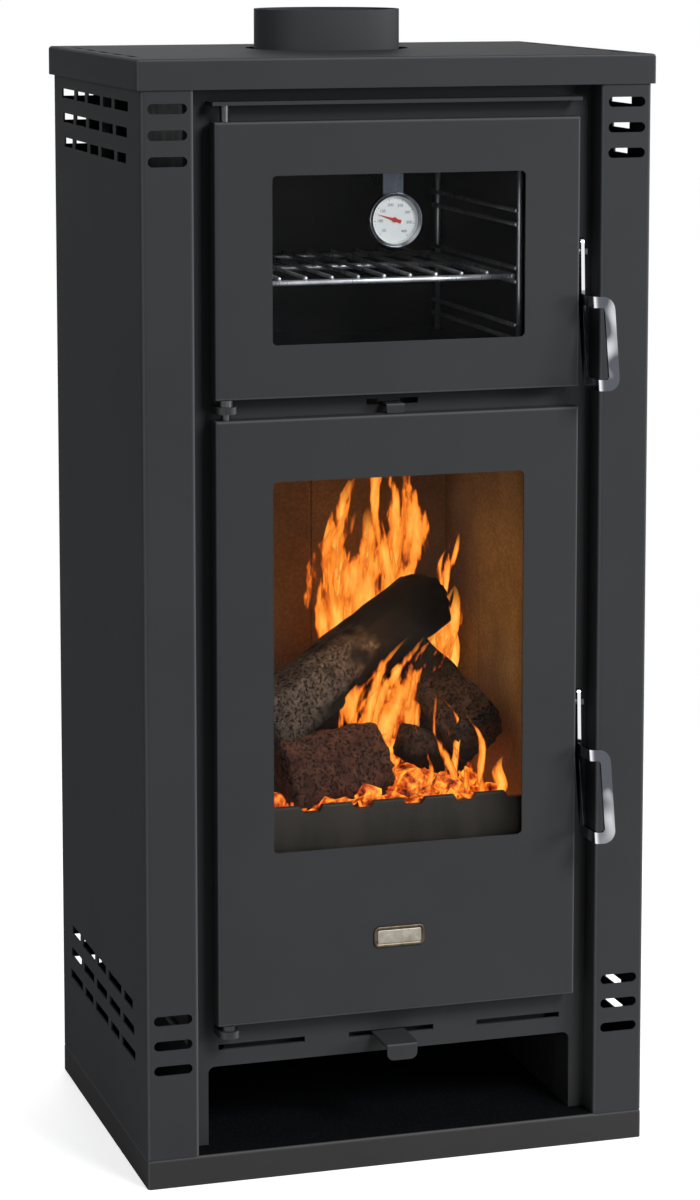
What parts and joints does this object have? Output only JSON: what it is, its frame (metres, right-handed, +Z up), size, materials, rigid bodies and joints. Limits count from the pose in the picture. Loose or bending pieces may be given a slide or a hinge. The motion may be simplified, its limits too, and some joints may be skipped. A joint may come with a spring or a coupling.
{
  "type": "wood cookstove",
  "caption": "Upright wood-burning cookstove: vented sheet-steel casing, fire chamber behind a tall glass door, oven with a dial thermometer above, wood store below, round flue collar on top.",
  "frame": {"origin": "on the floor, under the middle of the stove's box, latch grips included", "axes": "+Z up, the doors face -Y, +X to the right as seen from the front"},
  "size_m": [0.4568, 0.3798, 0.995],
  "materials": {
    "charcoal_paint": "satin fine-textured powder coat",
    "black_steel": "matt heat-proof black",
    "zinc_steel": "zinc-plated steel",
    "chrome": "polished chrome plate",
    "hanger_steel": "brushed",
    "cast_iron": "sooty casting",
    "firebrick": "vermiculite board",
    "ceramic_glass": "clear ceramic glass",
    "rope": "braided glass rope",
    "brass_plate": "aged plate",
    "dial_white": "enamel",
    "needle_red": "enamel"
  },
  "bodies": {
    "stove": {"base_tray": "charcoal_paint", "left_side_panel": "charcoal_paint", "right_side_panel": "charcoal_paint", "top_lid": "charcoal_paint", "rear_shield": "charcoal_paint", "front_frame": "charcoal_paint", "top_hinge_rail": "charcoal_paint", "hinge_lugs": "charcoal_paint", "flue_collar": "charcoal_paint", "store_liner": "black_steel", "left_body_wall": "black_steel", "right_body_wall": "black_steel", "rear_body_wall": "black_steel", "body_top_plate": "black_steel", "ash_floor": "black_steel", "air_valve_seat": "black_steel", "secondary_air_duct": "black_steel", "oven_box": "black_steel", "casing_screws": "zinc_steel", "oven_left_rail": "chrome", "oven_right_rail": "chrome", "grate": "cast_iron", "log_retainer": "cast_iron", "hearth_bed": "cast_iron", "left_firebricks": "firebrick", "right_firebricks": "firebrick", "rear_firebricks": "firebrick", "baffle_plate": "firebrick"},
    "oven_door": {"oven_door_panel": "charcoal_paint", "oven_door_glass": "ceramic_glass", "oven_glass_gasket": "rope", "oven_glass_retainer": "black_steel", "oven_retainer_screws": "zinc_steel", "oven_door_seal": "rope", "oven_latch_pivot": "zinc_steel", "oven_hinge_pins": "zinc_steel", "thermometer_hanger": "hanger_steel", "thermometer_case": "chrome", "thermometer_dial": "dial_white", "thermometer_lens": "ceramic_glass"},
    "fire_door": {"fire_door_panel": "charcoal_paint", "fire_door_glass": "ceramic_glass", "fire_glass_gasket": "rope", "fire_glass_retainer": "black_steel", "fire_retainer_screws": "zinc_steel", "fire_door_seal": "rope", "fire_latch_pivot": "zinc_steel", "fire_hinge_pins": "zinc_steel", "badge_plate": "brass_plate"},
    "oven_latch": {"oven_latch_lever": "chrome"},
    "fire_latch": {"fire_latch_lever": "chrome"},
    "dial_needle": {"thermometer_needle": "needle_red"},
    "primary_air": {"primary_air_slider": "charcoal_paint"},
    "secondary_air": {"secondary_air_slider": "charcoal_paint"},
    "rack": {"oven_rack": "chrome"},
    "ash_drawer": {"ash_pan": "zinc_steel"}
  },
  "joints": [
    {"name": "oven_door_swing", "type": "hinge", "parent": "stove", "child": "oven_door", "pos_m": [-0.151, -0.13936, 0.7911], "axis": [0, 0, -1], "range_deg": [0, 120]},
    {"name": "fire_door_swing", "type": "hinge", "parent": "stove", "child": "fire_door", "pos_m": [-0.151, -0.13936, 0.39685], "axis": [0, 0, -1], "range_deg": [0, 120]},
    {"name": "oven_latch_turn", "type": "hinge", "parent": "oven_door", "child": "oven_latch", "pos_m": [0.1654, -0.13836, 0.7911], "axis": [-1, 0, 0], "range_deg": [-10, 25]},
    {"name": "fire_latch_turn", "type": "hinge", "parent": "fire_door", "child": "fire_latch", "pos_m": [0.1654, -0.13836, 0.39685], "axis": [-1, 0, 0], "range_deg": [-10, 25]},
    {"name": "dial_needle_turn", "type": "hinge", "parent": "oven_door", "child": "dial_needle", "pos_m": [0, -0.13086, 0.8216], "axis": [0, -1, 0], "range_deg": [-212, 61]},
    {"name": "primary_air_slide", "type": "slide", "parent": "stove", "child": "primary_air", "axis": [1, 0, 0], "range_m": [-0.02, 0.02]},
    {"name": "secondary_air_slide", "type": "slide", "parent": "stove", "child": "secondary_air", "axis": [1, 0, 0], "range_m": [-0.01, 0.01]},
    {"name": "oven_rack_slide", "type": "slide", "parent": "stove", "child": "rack", "axis": [0, -1, 0], "range_m": [0, 0.02]},
    {"name": "ash_pan_slide", "type": "slide", "parent": "stove", "child": "ash_drawer", "axis": [0, -1, 0], "range_m": [0, 0.02]}
  ]
}
